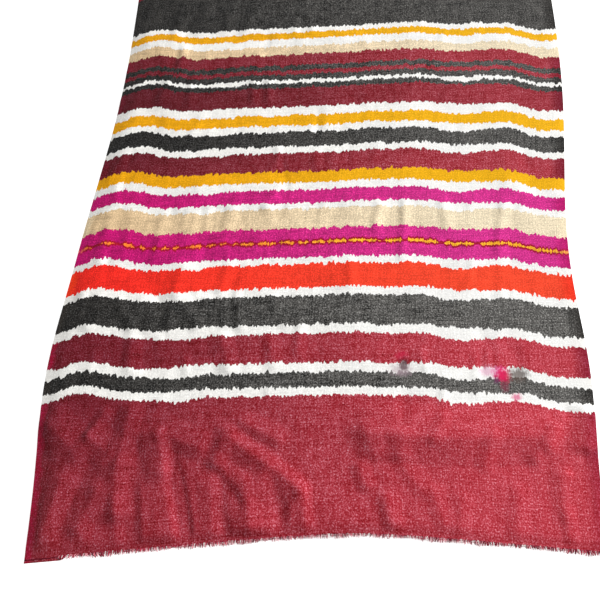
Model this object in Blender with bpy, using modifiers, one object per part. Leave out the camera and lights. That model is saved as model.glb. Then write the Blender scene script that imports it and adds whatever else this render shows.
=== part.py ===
"""A long striped shawl with frayed ends, laid out flat on the floor.

The cloth is one woven panel. Its last few weft threads at each end are a
narrow strip of their own, which carries the short threads of the fringe.

Metres, +Z up. X runs across the shawl, Y along it from the near end to the
far end, and the origin is under its middle, on the floor.
"""
import math
from collections import namedtuple

import bmesh
import bpy

# Cut and cloth
NEAR_HEM = -0.9093
FAR_HEM = 0.9247
HALF_WIDTH = 0.2718
WALL = 0.0015

# The long edges: the cloth leans to the left near its near end, where it is
# also pulled a little wider
LEAN_MIDDLE = 0.0035
LEAN = 0.0216
LEAN_Y = -0.507
LEAN_RUN = 0.152
SPREAD = 0.0089
SPREAD_Y = -0.743
SPREAD_RUN = 0.0915

# The hems: their corners reach further out than their middles
NEAR_DROP = 0.085
FAR_DROP = 0.020
DROP_ROUND = 0.046
DROP_X = 0.026
DROP_FADE = 0.16

# The fringe
SEAM_GAP = 0.0003
STRIP_WIDTH = 0.0025
STRIP_WALL = 0.0010
STRANDS = 90
ROOT_SHARE = 0.35
STRAND_LENGTH = 0.0048
STRAND_UNEVEN = 0.0010
STRAND_LEAN = 0.0014
STRAND_TAPER = 0.5
STRAND_LIFT = 0.0005
PLAIN_CORNER = 0.040
FRINGE_DEPTH = SEAM_GAP + STRIP_WIDTH + STRAND_LENGTH

# The surface: columns across, and rows in three stretches along the length,
# each given by the distance from the near hem at which it ends
COLUMNS = 40
STRETCHES = ((0.140, 14), (0.670, 20), (FAR_HEM - NEAR_HEM, 28))

# Over this distance from the panel's end the folds die out
HEM_FADE = 0.028

# A fold is a soft ridge from one point to another, each given across the shawl
# and along it from the middle of the near hem. It bows to its right, and runs
# out to its two sides over the widths left and right, looking from its first
# point to its second
Fold = namedtuple("Fold", "x0 y0 x1 y1 bow lift left right")

NEAR_FOLDS = (
    #     x0      y0     x1      y1     bow    lift   left  right
    Fold(-0.262, 0.100, -0.285, -0.030, 0.003, 0.0035, 0.045, 0.022),
    Fold(-0.220, 0.075, -0.246, -0.020, 0.002, 0.0030, 0.026, 0.018),
    Fold(-0.193, 0.150, -0.207, -0.030, 0.006, 0.0042, 0.021, 0.017),
    Fold(-0.184, 0.120, -0.164, -0.030, 0.004, 0.0046, 0.036, 0.018),
    Fold(-0.139, 0.085, -0.120, -0.030, 0.000, 0.0030, 0.030, 0.016),
    Fold(-0.162, 0.124, -0.105, 0.092, 0.004, 0.0035, 0.030, 0.020),
    Fold(-0.085, 0.122, -0.114, 0.058, 0.000, 0.0038, 0.018, 0.018),
    Fold(-0.112, 0.112, -0.014, 0.022, -0.009, 0.0048, 0.020, 0.026),
    Fold(-0.110, 0.078, -0.062, -0.030, 0.005, 0.0034, 0.032, 0.016),
    Fold(-0.036, 0.052, -0.026, -0.030, 0.000, 0.0030, 0.024, 0.015),
    Fold(0.030, 0.102, 0.235, 0.108, 0.006, 0.0034, 0.040, 0.030),
    Fold(0.228, 0.080, 0.222, -0.030, 0.000, 0.0030, 0.024, 0.018),
    Fold(0.046, 0.066, 0.066, -0.020, 0.000, 0.0022, 0.026, 0.018),
    Fold(0.124, 0.052, 0.138, -0.030, 0.000, 0.0020, 0.028, 0.020),
)

STRIPE_FOLDS = (
    #     x0      y0     x1      y1     bow    lift   left  right
    Fold(-0.236, 0.330, -0.252, 0.130, 0.006, 0.0032, 0.034, 0.026),
    Fold(-0.150, 0.420, -0.178, 0.190, -0.008, 0.0028, 0.040, 0.028),
    Fold(-0.062, 0.300, -0.085, 0.120, 0.004, 0.0026, 0.034, 0.030),
    Fold(0.052, 0.380, 0.020, 0.170, 0.006, 0.0026, 0.036, 0.030),
    Fold(0.170, 0.350, 0.128, 0.190, -0.005, 0.0028, 0.040, 0.032),
    Fold(0.206, 0.560, 0.226, 0.300, 0.008, 0.0030, 0.034, 0.030),
    Fold(-0.196, 0.640, -0.176, 0.430, 0.006, 0.0030, 0.036, 0.030),
    Fold(0.030, 0.690, -0.016, 0.450, -0.006, 0.0026, 0.040, 0.034),
    Fold(0.118, 0.640, 0.102, 0.420, 0.004, 0.0024, 0.034, 0.030),
)

FAR_FOLDS = (
    #     x0      y0     x1      y1     bow    lift   left  right
    Fold(-0.070, 0.930, -0.112, 0.620, 0.010, 0.0030, 0.042, 0.034),
    Fold(0.190, 0.960, 0.152, 0.700, -0.008, 0.0032, 0.038, 0.032),
    Fold(-0.206, 1.080, -0.170, 0.780, 0.008, 0.0034, 0.038, 0.030),
    Fold(0.048, 1.170, 0.082, 0.880, -0.008, 0.0028, 0.042, 0.034),
    Fold(-0.060, 1.330, -0.040, 1.020, 0.006, 0.0030, 0.036, 0.034),
    Fold(0.238, 1.320, 0.206, 1.060, 0.006, 0.0032, 0.034, 0.028),
    Fold(-0.198, 1.450, -0.228, 1.190, -0.006, 0.0030, 0.036, 0.030),
    Fold(0.100, 1.530, 0.138, 1.290, 0.008, 0.0030, 0.038, 0.032),
    Fold(-0.110, 1.690, -0.134, 1.440, 0.006, 0.0034, 0.036, 0.030),
    Fold(0.012, 1.720, 0.034, 1.500, -0.005, 0.0028, 0.036, 0.032),
    Fold(-0.232, 1.870, -0.204, 1.700, 0.004, 0.0034, 0.034, 0.024),
    Fold(-0.060, 1.870, -0.084, 1.740, 0.003, 0.0032, 0.030, 0.024),
    Fold(0.112, 1.870, 0.078, 1.710, 0.004, 0.0034, 0.034, 0.026),
    Fold(0.222, 1.870, 0.236, 1.640, -0.005, 0.0032, 0.030, 0.028),
)
FOLDS = NEAR_FOLDS + STRIPE_FOLDS + FAR_FOLDS

BURGUNDY = (0.242, 0.022, 0.056, 1.0)
FRINGE_RED = (0.300, 0.035, 0.075, 1.0)


def clear_scene():
    """Start from an empty scene."""
    for item in list(bpy.data.objects):
        bpy.data.objects.remove(item, do_unlink=True)


def new_collection(name):
    """A collection of the object's own, in the scene."""
    collection = bpy.data.collections.new(name)
    bpy.context.scene.collection.children.link(collection)
    return collection


def woven_material(name, colour):
    """Matt woven cloth of one colour."""
    material = bpy.data.materials.new(name)
    material.use_nodes = True
    shader = material.node_tree.nodes["Principled BSDF"]
    shader.inputs["Base Color"].default_value = colour
    shader.inputs["Roughness"].default_value = 0.9
    shader.inputs["Metallic"].default_value = 0.0
    return material


def fade(distance, run):
    """Smooth rise from 0 at no distance to 1 at the full run."""
    t = min(max(distance / run, 0.0), 1.0)
    return t * t * (3.0 - 2.0 * t)


def drop(x, slope):
    """How far a hem's point at x reaches past its middle: a rounded V."""
    return slope * (math.hypot(x - DROP_X, DROP_ROUND) - DROP_ROUND)


def edge_centre(y):
    """Middle of the shawl's width at y: a soft step to the left."""
    return LEAN_MIDDLE + LEAN * math.tanh((y - LEAN_Y) / LEAN_RUN)


def half_width(y):
    """Half the shawl's width at y, with a soft swelling near the near end."""
    return HALF_WIDTH + SPREAD * math.exp(-((y - SPREAD_Y) / SPREAD_RUN) ** 2)


def on_panel(across, y, near_y, far_y):
    """A point of the shawl in plan, at across from -1 to 1 and at row y.

    Rows are straight in the middle of the length and bend with the hems.
    """
    x = edge_centre(y) + across * half_width(y)
    near = math.exp(-(y - near_y) / DROP_FADE)
    far = math.exp(-(far_y - y) / DROP_FADE)
    return x, y - drop(x, NEAR_DROP) * near + drop(x, FAR_DROP) * far


def ridge(fold, x, y):
    """Height of one fold: a raised cosine across it and a sine along it."""
    run_x = fold.x1 - fold.x0
    run_y = fold.y1 - fold.y0
    length = math.hypot(run_x, run_y)
    t = ((x - fold.x0) * run_x + (y - fold.y0) * run_y) / length ** 2
    if not 0.0 < t < 1.0:
        return 0.0
    aside = ((x - fold.x0) * run_y - (y - fold.y0) * run_x) / length
    aside -= fold.bow * 4.0 * t * (1.0 - t)
    reach = fold.right if aside > 0.0 else fold.left
    if abs(aside) >= reach:
        return 0.0
    across = 0.5 + 0.5 * math.cos(math.pi * aside / reach)
    return fold.lift * across * math.sin(math.pi * t) ** 0.7


def fold_height(x, y):
    """Height of all the folds at a point of the shawl, nothing at the hems."""
    from_near = y - NEAR_HEM + drop(x, NEAR_DROP)
    to_far = FAR_HEM + drop(x, FAR_DROP) - y
    height = sum(ridge(fold, x, y - NEAR_HEM) for fold in FOLDS)
    near_fade = fade(from_near - FRINGE_DEPTH, HEM_FADE)
    far_fade = fade(to_far - FRINGE_DEPTH, HEM_FADE)
    return height * near_fade * far_fade


def row_positions(first, last):
    """Y of each row of the surface, closer together where folds are small."""
    rows = [first]
    start = 0.0
    for end, count in STRETCHES:
        for step in range(1, count + 1):
            rows.append(NEAR_HEM + start + (end - start) * step / count)
        start = end
    rows[-1] = last
    return rows


def finish_sheet(mesh, name, wall, material, collection):
    """Turn an open surface into an object with a wall under it."""
    data = bpy.data.meshes.new(name)
    mesh.to_mesh(data)
    mesh.free()
    data.materials.append(material)
    sheet = bpy.data.objects.new(name, data)
    collection.objects.link(sheet)
    solid = sheet.modifiers.new("wall", "SOLIDIFY")
    solid.thickness = wall
    solid.offset = -1.0
    solid.use_even_offset = False
    return sheet


def make_panel(collection):
    """The woven panel: a grid moved to the outline and lifted at the folds."""
    near_y = NEAR_HEM + FRINGE_DEPTH
    far_y = FAR_HEM - FRINGE_DEPTH
    rows = row_positions(near_y, far_y)
    mesh = bmesh.new()
    bmesh.ops.create_grid(mesh, x_segments=COLUMNS, y_segments=len(rows) - 1, size=0.5)
    for vert in mesh.verts:
        row = round((vert.co.y + 0.5) * (len(rows) - 1))
        x, y = on_panel(2.0 * vert.co.x, rows[row], near_y, far_y)
        vert.co = (x, y, WALL + fold_height(x, y))
    material = woven_material("striped_cloth", BURGUNDY)
    return finish_sheet(mesh, "shawl_panel", WALL, material, collection)


def on_outer_side(vert, inner, outward, slope):
    """Whether a point of a fringe's strip lies on the side away from the panel."""
    out = (vert.co.y - inner) * outward - drop(vert.co.x, slope)
    return out > 0.5 * STRIP_WIDTH


def draw_thread(mesh, edge, number, outward):
    """Draw one edge of a strip out to a thread, uneven in length and lean."""
    centre = 0.5 * (edge.verts[0].co.x + edge.verts[1].co.x)
    grown = bmesh.ops.extrude_edge_only(mesh, edges=[edge])["geom"]
    turn = 2.4 * number
    length = STRAND_LENGTH - STRAND_UNEVEN * (0.5 + 0.5 * math.sin(turn))
    lean = STRAND_LEAN * math.sin(1.7 * turn)
    for tip in grown:
        if isinstance(tip, bmesh.types.BMVert):
            tip.co.x = centre + lean + STRAND_TAPER * (tip.co.x - centre)
            tip.co.y += outward * length
            tip.co.z += STRAND_LIFT


def make_fringe(name, hem, outward, plain, collection):
    """The last weft threads at one hem, with the fringe's threads on them.

    The strip is one row of cells, by turns a wide gap and a narrow root, and
    each root past the plain corner is drawn out to a thread.
    """
    slope = NEAR_DROP if outward < 0.0 else FAR_DROP
    inner = hem - outward * (FRINGE_DEPTH - SEAM_GAP)
    reach = half_width(inner)
    left = edge_centre(inner) - reach
    period = 2.0 * reach / (STRANDS + 1.0 - ROOT_SHARE)
    cells = 2 * STRANDS + 1
    mesh = bmesh.new()
    bmesh.ops.create_grid(mesh, x_segments=cells, y_segments=1, size=0.5)
    for vert in mesh.verts:
        column = round((vert.co.x + 0.5) * cells)
        x = left + period * (column // 2 + (column % 2) * (1.0 - ROOT_SHARE))
        out = STRIP_WIDTH if vert.co.y * outward > 0.0 else 0.0
        vert.co = (x, inner + outward * (drop(x, slope) + out), STRIP_WALL)

    outer = [edge for edge in mesh.edges if edge.is_boundary
             and all(on_outer_side(vert, inner, outward, slope) for vert in edge.verts)]
    outer.sort(key=lambda edge: edge.verts[0].co.x + edge.verts[1].co.x)
    for number, root in enumerate(outer[1::2]):
        if root.verts[0].co.x - left > plain:
            draw_thread(mesh, root, number, outward)
    bmesh.ops.recalc_face_normals(mesh, faces=mesh.faces)
    if mesh.faces[0].normal.z < 0.0:
        bmesh.ops.reverse_faces(mesh, faces=mesh.faces)
    material = woven_material(name + "_threads", FRINGE_RED)
    return finish_sheet(mesh, name, STRIP_WALL, material, collection)


clear_scene()
shawl = new_collection("striped_shawl")
make_panel(shawl)
make_fringe("near_fringe", NEAR_HEM, -1.0, PLAIN_CORNER, shawl)
make_fringe("far_fringe", FAR_HEM, 1.0, 0.0, shawl)
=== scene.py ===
import math

import bpy
import numpy as np
from mathutils import Matrix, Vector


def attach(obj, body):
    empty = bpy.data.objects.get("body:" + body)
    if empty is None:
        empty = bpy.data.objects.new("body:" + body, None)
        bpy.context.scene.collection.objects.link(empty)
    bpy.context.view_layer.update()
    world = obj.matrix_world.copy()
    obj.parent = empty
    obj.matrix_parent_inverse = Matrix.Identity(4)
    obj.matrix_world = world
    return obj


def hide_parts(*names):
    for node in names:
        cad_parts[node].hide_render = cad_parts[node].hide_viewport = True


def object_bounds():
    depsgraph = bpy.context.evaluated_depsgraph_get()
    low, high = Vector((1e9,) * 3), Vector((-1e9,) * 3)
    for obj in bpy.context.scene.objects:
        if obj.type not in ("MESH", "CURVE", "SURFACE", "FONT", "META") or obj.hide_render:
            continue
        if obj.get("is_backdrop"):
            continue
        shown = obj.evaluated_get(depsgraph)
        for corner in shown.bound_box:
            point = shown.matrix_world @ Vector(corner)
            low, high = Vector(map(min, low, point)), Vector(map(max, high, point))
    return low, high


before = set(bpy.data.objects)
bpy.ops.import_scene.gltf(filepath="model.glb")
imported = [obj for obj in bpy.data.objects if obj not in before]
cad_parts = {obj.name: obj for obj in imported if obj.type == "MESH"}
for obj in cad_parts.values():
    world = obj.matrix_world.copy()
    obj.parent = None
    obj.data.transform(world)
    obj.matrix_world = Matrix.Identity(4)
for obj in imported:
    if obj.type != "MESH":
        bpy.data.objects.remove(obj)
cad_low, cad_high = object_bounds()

# The woven panel
# One length of light wool cloth in plain weave, both selvedges woven in, lying on the floor
# as it was put down. It is a thin shell, raised at the folds that the hand left in it.

NEAR_HEM = -0.9093
FAR_HEM = 0.9247
LENGTH = FAR_HEM - NEAR_HEM
HALF_WIDTH = 0.2718
CLOTH = 0.0008

LEAN_MIDDLE, LEAN, LEAN_Y, LEAN_RUN = 0.0035, 0.0216, -0.507, 0.152
SPREAD, SPREAD_Y, SPREAD_RUN = 0.0089, -0.743, 0.0915
NEAR_DROP, FAR_DROP, DROP_ROUND, DROP_X, DROP_FADE = 0.085, 0.020, 0.046, 0.026, 0.16
FRINGE_DEPTH = 0.0050
HEM_FADE = 0.012
NEAR_END = NEAR_HEM + FRINGE_DEPTH
FAR_END = FAR_HEM - FRINGE_DEPTH
PLAIN_CORNER, PLAIN_REACH = 0.034, 0.0040
PLAIN_ROUND, PLAIN_BACK = 0.010, 0.020


def fade(distance, run):
    """Smooth rise from 0 to 1 over the run: 3 t squared less 2 t cubed."""
    t = np.clip(distance / run, 0.0, 1.0)
    return t * t * (3.0 - 2.0 * t)


def hem_drop(x, slope):
    """How far a hem reaches past its middle: a V of that slope with a rounded point."""
    return slope * (np.hypot(x - DROP_X, DROP_ROUND) - DROP_ROUND)


def middle_of(y):
    """Middle of the cloth's width: a step to the left as a hyperbolic tangent of y."""
    return LEAN_MIDDLE + LEAN * np.tanh((y - LEAN_Y) / LEAN_RUN)


def half_of(y):
    """Half the cloth's width: a constant and one bell curve near the near end."""
    return HALF_WIDTH + SPREAD * np.exp(-((y - SPREAD_Y) / SPREAD_RUN) ** 2)


def in_plan(across, y):
    """Across from -1 to 1 and row y to X and Y: rows bend with the hems, fading inwards.

    At the near left corner, which isn't frayed, the cloth reaches out as far as a fringe.
    """
    x = middle_of(y) + across * half_of(y)
    near = hem_drop(x, NEAR_DROP) * np.exp(-(y - NEAR_END) / DROP_FADE)
    far = hem_drop(x, FAR_DROP) * np.exp(-(FAR_END - y) / DROP_FADE)
    whole = 1.0 - fade((across + 1.0) * half_of(y) - PLAIN_CORNER, PLAIN_ROUND)
    whole = PLAIN_REACH * whole * (1.0 - fade(y - NEAR_END, PLAIN_BACK))
    return x, y - near + far - whole


# A fold runs from one point to another, in X and in metres from the near hem. It bows to
# one side, rises by its lift, and falls away over its reach to the left and to the right
NEAR_FOLDS = (
    # x0      y0     x1      y1     bow    lift   left  right
    (-0.262, 0.100, -0.285, -0.030, 0.003, 0.0035, 0.045, 0.022),
    (-0.220, 0.075, -0.246, -0.020, 0.002, 0.0030, 0.026, 0.018),
    (-0.193, 0.150, -0.207, -0.030, 0.006, 0.0024, 0.021, 0.017),
    (-0.184, 0.120, -0.164, -0.030, 0.004, 0.0046, 0.036, 0.018),
    (-0.139, 0.085, -0.120, -0.030, 0.000, 0.0030, 0.030, 0.016),
    (-0.162, 0.124, -0.105, 0.092, 0.004, 0.0035, 0.030, 0.020),
    (-0.085, 0.122, -0.114, 0.058, 0.000, 0.0038, 0.018, 0.018),
    (-0.112, 0.112, -0.014, 0.022, -0.009, 0.0026, 0.020, 0.026),
    (-0.110, 0.078, -0.062, -0.030, 0.005, 0.0034, 0.032, 0.016),
    (-0.036, 0.052, -0.026, -0.030, 0.000, 0.0016, 0.024, 0.015),
    (0.030, 0.102, 0.235, 0.108, 0.006, 0.0034, 0.040, 0.030),
    (0.228, 0.080, 0.222, -0.030, 0.000, 0.0018, 0.024, 0.018),
    (0.046, 0.066, 0.066, -0.020, 0.000, 0.0022, 0.026, 0.018),
    (0.124, 0.052, 0.138, -0.030, 0.000, 0.0020, 0.028, 0.020),
)
STRIPE_FOLDS = (
    # x0      y0     x1      y1     bow    lift   left  right
    (-0.236, 0.330, -0.252, 0.130, 0.006, 0.0032, 0.034, 0.026),
    (-0.150, 0.420, -0.178, 0.190, -0.008, 0.0028, 0.040, 0.028),
    (-0.062, 0.300, -0.085, 0.120, 0.004, 0.0026, 0.034, 0.030),
    (0.052, 0.380, 0.020, 0.170, 0.006, 0.0026, 0.036, 0.030),
    (0.170, 0.350, 0.128, 0.190, -0.005, 0.0028, 0.040, 0.032),
    (0.206, 0.560, 0.226, 0.300, 0.008, 0.0030, 0.034, 0.030),
    (-0.196, 0.640, -0.176, 0.430, 0.006, 0.0030, 0.036, 0.030),
    (0.030, 0.690, -0.016, 0.450, -0.006, 0.0026, 0.040, 0.034),
    (0.118, 0.640, 0.102, 0.420, 0.004, 0.0024, 0.034, 0.030),
)
FAR_FOLDS = (
    # x0      y0     x1      y1     bow    lift   left  right
    (-0.070, 0.930, -0.112, 0.620, 0.010, 0.0030, 0.042, 0.034),
    (0.190, 0.960, 0.152, 0.700, -0.008, 0.0032, 0.038, 0.032),
    (-0.206, 1.080, -0.170, 0.780, 0.008, 0.0034, 0.038, 0.030),
    (0.048, 1.170, 0.082, 0.880, -0.008, 0.0028, 0.042, 0.034),
    (-0.060, 1.330, -0.040, 1.020, 0.006, 0.0030, 0.036, 0.034),
    (0.238, 1.320, 0.206, 1.060, 0.006, 0.0032, 0.034, 0.028),
    (-0.198, 1.450, -0.228, 1.190, -0.006, 0.0030, 0.036, 0.030),
    (0.100, 1.530, 0.138, 1.290, 0.008, 0.0030, 0.038, 0.032),
    (-0.110, 1.690, -0.134, 1.440, 0.006, 0.0034, 0.036, 0.030),
    (0.012, 1.720, 0.034, 1.500, -0.005, 0.0028, 0.036, 0.032),
    (-0.232, 1.870, -0.204, 1.700, 0.004, 0.0034, 0.034, 0.024),
    (-0.060, 1.870, -0.084, 1.740, 0.003, 0.0032, 0.030, 0.024),
    (0.112, 1.870, 0.078, 1.710, 0.004, 0.0034, 0.034, 0.026),
    (0.222, 1.870, 0.236, 1.640, -0.005, 0.0032, 0.030, 0.028),
)
# Sharp creases on those folds; a negative lift is a dent
CREASES = (
    # x0      y0      x1      y1     bow     lift    left    right
    (-0.258, 0.072, -0.280, -0.012, 0.000, 0.0028, 0.017, 0.014),
    (-0.298, 0.120, -0.238, 0.070, 0.000, 0.0038, 0.024, 0.022),
    (-0.222, 0.128, -0.246, 0.090, 0.001, 0.0019, 0.009, 0.007),
    (-0.248, 0.104, -0.212, 0.074, 0.000, 0.0032, 0.018, 0.018),
    (-0.221, 0.056, -0.246, -0.004, 0.000, 0.0026, 0.014, 0.018),
    (-0.198, 0.138, -0.208, 0.062, 0.001, 0.0026, 0.014, 0.014),
    (-0.209, 0.082, -0.203, 0.010, 0.001, 0.0042, 0.020, 0.028),
    (-0.208, 0.046, -0.199, -0.012, 0.001, 0.0008, 0.008, 0.007),
    (-0.178, 0.110, -0.159, 0.050, -0.004, 0.0036, 0.010, 0.021),
    (-0.184, 0.062, -0.172, -0.012, 0.001, 0.0011, 0.025, 0.007),
    (-0.162, 0.086, -0.131, -0.014, -0.003, -0.0026, 0.009, 0.012),
    (-0.164, 0.078, -0.147, -0.010, -0.002, 0.0016, 0.009, 0.020),
    (-0.176, 0.108, -0.114, 0.081, 0.003, 0.0030, 0.018, 0.012),
    (-0.099, 0.112, -0.113, 0.060, 0.000, 0.0022, 0.012, 0.011),
    (-0.104, 0.102, -0.052, 0.065, 0.002, 0.0031, 0.011, 0.016),
    (-0.066, 0.072, -0.017, 0.036, -0.002, 0.0034, 0.011, 0.030),
    (-0.025, 0.054, -0.020, -0.010, -0.001, 0.0019, 0.008, 0.010),
    (-0.094, 0.114, -0.038, 0.086, -0.001, 0.0022, 0.014, 0.009),
    (-0.116, 0.066, -0.107, -0.012, 0.000, 0.0015, 0.010, 0.013),
    (-0.120, 0.068, -0.078, 0.020, -0.004, -0.0013, 0.007, 0.014),
    (-0.083, 0.068, -0.070, -0.016, -0.001, 0.0040, 0.026, 0.022),
    (-0.060, 0.068, -0.041, 0.022, -0.002, -0.0006, 0.014, 0.012),
    (-0.042, 0.040, -0.044, -0.014, 0.000, -0.0008, 0.008, 0.012),
    (-0.035, 0.038, -0.033, -0.016, 0.000, 0.0009, 0.014, 0.009),
    (0.034, 0.114, 0.050, 0.068, 0.001, 0.0014, 0.014, 0.016),
    (0.029, 0.074, 0.040, 0.040, 0.001, 0.0016, 0.011, 0.009),
    (0.054, 0.046, 0.066, -0.010, 0.001, 0.0018, 0.013, 0.009),
    (0.010, 0.102, 0.240, 0.096, 0.007, 0.0042, 0.032, 0.026),
    (0.192, 0.062, 0.224, 0.112, 0.000, 0.0016, 0.012, 0.010),
    (0.064, 0.082, 0.098, 0.034, 0.001, 0.0010, 0.014, 0.010),
    (0.074, 0.106, 0.070, 0.070, 0.000, 0.0010, 0.013, 0.013),
    (0.120, 0.122, 0.101, 0.082, 0.001, 0.0011, 0.009, 0.008),
    (0.098, 0.052, 0.114, 0.002, 0.001, 0.0012, 0.012, 0.010),
    (0.128, 0.046, 0.122, -0.004, 0.001, 0.0009, 0.012, 0.010),
    (0.166, 0.106, 0.148, 0.056, 0.001, 0.0011, 0.011, 0.010),
    (0.182, 0.054, 0.172, -0.010, 0.001, 0.0010, 0.012, 0.010),
    (0.237, 0.116, 0.208, 0.074, 0.002, 0.0019, 0.009, 0.010),
    (0.262, 0.128, 0.250, 0.070, 0.001, 0.0036, 0.009, 0.024),
    (0.226, 0.058, 0.260, 0.081, 0.001, -0.0022, 0.004, 0.005),
    (0.221, 0.070, 0.218, 0.008, 0.000, 0.0010, 0.011, 0.011),
    (0.220, 0.034, 0.220, -0.010, 0.000, 0.0008, 0.009, 0.006),
    (-0.207, 0.210, -0.206, 0.156, 0.001, 0.0018, 0.010, 0.009),
    (-0.190, 0.208, -0.184, 0.158, 0.001, -0.0015, 0.009, 0.009),
    (-0.112, 0.212, -0.097, 0.152, 0.001, 0.0023, 0.012, 0.014),
    (-0.062, 0.208, -0.050, 0.156, 0.001, 0.0013, 0.012, 0.009),
    (-0.244, 0.254, -0.262, 0.206, 0.001, 0.0017, 0.010, 0.008),
    (-0.232, 0.252, -0.204, 0.206, 0.001, 0.0017, 0.007, 0.007),
    (-0.196, 0.252, -0.214, 0.204, 0.001, 0.0014, 0.008, 0.008),
    (-0.190, 0.252, -0.192, 0.204, 0.000, 0.0015, 0.009, 0.006),
    (-0.154, 0.254, -0.174, 0.204, 0.001, 0.0019, 0.008, 0.007),
    (-0.152, 0.252, -0.136, 0.206, 0.001, 0.0017, 0.007, 0.008),
    (-0.124, 0.252, -0.140, 0.206, 0.001, 0.0015, 0.008, 0.007),
    (-0.112, 0.252, -0.104, 0.208, 0.001, 0.0014, 0.008, 0.008),
    (-0.096, 0.252, -0.088, 0.204, 0.001, 0.0017, 0.008, 0.009),
    (-0.062, 0.252, -0.036, 0.206, 0.001, 0.0015, 0.008, 0.008),
    (-0.244, 0.366, -0.254, 0.280, 0.001, 0.0013, 0.009, 0.009),
    (-0.218, 0.364, -0.229, 0.288, 0.001, 0.0011, 0.010, 0.008),
    (-0.183, 0.368, -0.189, 0.282, 0.001, 0.0012, 0.010, 0.008),
    (-0.118, 0.370, -0.136, 0.284, 0.001, -0.0017, 0.012, 0.010),
    (-0.099, 0.370, -0.118, 0.290, 0.001, 0.0013, 0.009, 0.012),
    (-0.010, 0.336, -0.076, 0.280, 0.001, 0.0014, 0.010, 0.009),
    (-0.150, 0.292, -0.168, 0.240, 0.001, 0.0014, 0.009, 0.008),
    (-0.100, 0.294, -0.118, 0.244, 0.001, 0.0012, 0.009, 0.008),
    (0.066, 0.364, 0.056, 0.314, 0.001, 0.0017, 0.009, 0.007),
    (0.094, 0.368, 0.084, 0.276, 0.001, 0.0015, 0.010, 0.006),
    (0.133, 0.366, 0.138, 0.312, 0.000, 0.0012, 0.009, 0.007),
    (0.204, 0.362, 0.186, 0.280, 0.001, 0.0014, 0.010, 0.007),
    (-0.186, 0.566, -0.206, 0.500, 0.001, 0.0017, 0.010, 0.009),
    (-0.162, 0.570, -0.166, 0.496, 0.000, 0.0017, 0.009, 0.008),
    (-0.084, 0.566, -0.086, 0.494, 0.000, 0.0016, 0.008, 0.007),
    (-0.066, 0.566, -0.066, 0.494, 0.000, 0.0016, 0.007, 0.007),
    (-0.176, 0.606, -0.182, 0.534, 0.001, 0.0016, 0.010, 0.008),
    (-0.170, 0.700, -0.196, 0.600, 0.001, 0.0019, 0.011, 0.009),
    (-0.142, 0.700, -0.162, 0.606, 0.001, 0.0018, 0.010, 0.009),
    (-0.112, 0.700, -0.130, 0.610, 0.001, 0.0016, 0.011, 0.009),
    (-0.076, 0.700, -0.102, 0.598, 0.001, 0.0018, 0.011, 0.010),
)
CREASE_ROUND, CREASE_ENDS = 0.0009, 0.22
# Small chance creases, between two distances from the near hem
SCATTERED = (
    # count  from  to     lift   scale  seed
    (170, 0.15, 0.72, 0.0013, 0.62, 5),
    (110, 0.68, 1.75, 0.0014, 1.00, 7),
)
SLANT, SLANT_SPREAD = -0.42, 0.40
CHANCE_SIDE, CHANCE_LENGTH, CHANCE_LIFT = 0.27, (0.030, 0.105), (0.35, 1.0)
CHANCE_REACH, CHANCE_BOW = (0.007, 0.015), 0.002
DENT_SHARE, CALM_RIGHT = 0.3, 0.55
# The folds sink as the cloth settles, and the creases stay
FOLD_SHARE, FAR_SHARE = 0.32, 0.8
EDGE_SHARE, EDGE_FADE = 0.50, 0.014
LIE_HEIGHT, LOWEST = 0.00016, 0.0006


def run_of(row, x, y):
    """Share of the way along a row's line, distance aside, and its reach on that side."""
    x0, y0, x1, y1, bow, lift, left, right = row
    run_x, run_y = x1 - x0, y1 - y0
    length = math.hypot(run_x, run_y)
    t = np.clip(((x - x0) * run_x + (y - y0) * run_y) / length ** 2, 0.0, 1.0)
    aside = ((x - x0) * run_y - (y - y0) * run_x) / length - bow * 4.0 * t * (1.0 - t)
    return t, aside, np.where(aside > 0.0, right, left)


def ridges(table, x, y):
    """Sum of soft ridges: a raised cosine across each, a sine to the power 0.7 along it."""
    height = np.zeros_like(x)
    for row in table:
        t, aside, reach = run_of(row, x, y)
        over = 0.5 + 0.5 * np.cos(math.pi * np.clip(aside / reach, -1.0, 1.0))
        height += row[5] * over * np.abs(np.sin(math.pi * t)) ** 0.7
    return height


def pleats(table, x, y):
    """Sum of sharp creases: a straight fall to each side of a barely rounded back."""
    height = np.zeros_like(x)
    for row in table:
        t, aside, reach = run_of(row, x, y)
        fall = (np.hypot(aside, CREASE_ROUND) - CREASE_ROUND) / reach
        ends = fade(t, CREASE_ENDS) * fade(1.0 - t, CREASE_ENDS)
        height += row[5] * np.clip(1.0 - fall, 0.0, 1.0) * ends
    return height


def scattered(count, low, high, lift, scale, seed):
    """Rows of small chance creases, most slanting left, a share of them dents."""
    draw = np.random.default_rng(seed)
    x = draw.uniform(-CHANCE_SIDE, CHANCE_SIDE, count)
    y = draw.uniform(low, high, count)
    slant = draw.normal(SLANT, SLANT_SPREAD, count)
    length = scale * draw.uniform(*CHANCE_LENGTH, count)
    size = lift * draw.uniform(*CHANCE_LIFT, count)
    size = size * np.where(draw.random(count) < DENT_SHARE, -1.0, 1.0)
    size = size * np.where(x > 0.0, CALM_RIGHT, 1.0)
    reach = scale * draw.uniform(*CHANCE_REACH, (2, count))
    bow = scale * draw.normal(0.0, CHANCE_BOW, count)
    ends = (x + length * np.sin(slant), y - length * np.cos(slant))
    return np.stack((x, y, *ends, bow, size, *reach), -1)


def lie(x, y):
    """Slow unevenness of cloth on a floor: three long crossed waves, each with a sway."""
    turn = 2.0 * math.pi
    slant = np.sin(turn * (x / 0.083 + y / 0.210) + 1.3 * np.sin(turn * y / 0.31))
    cross = np.sin(turn * (x / 0.135 - y / 0.170) + 1.1 * np.sin(turn * x / 0.22))
    along = np.sin(turn * y / 0.096 + 2.0 * np.sin(turn * x / 0.19))
    return LIE_HEIGHT * (slant + cross + along + 1.6)


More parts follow.
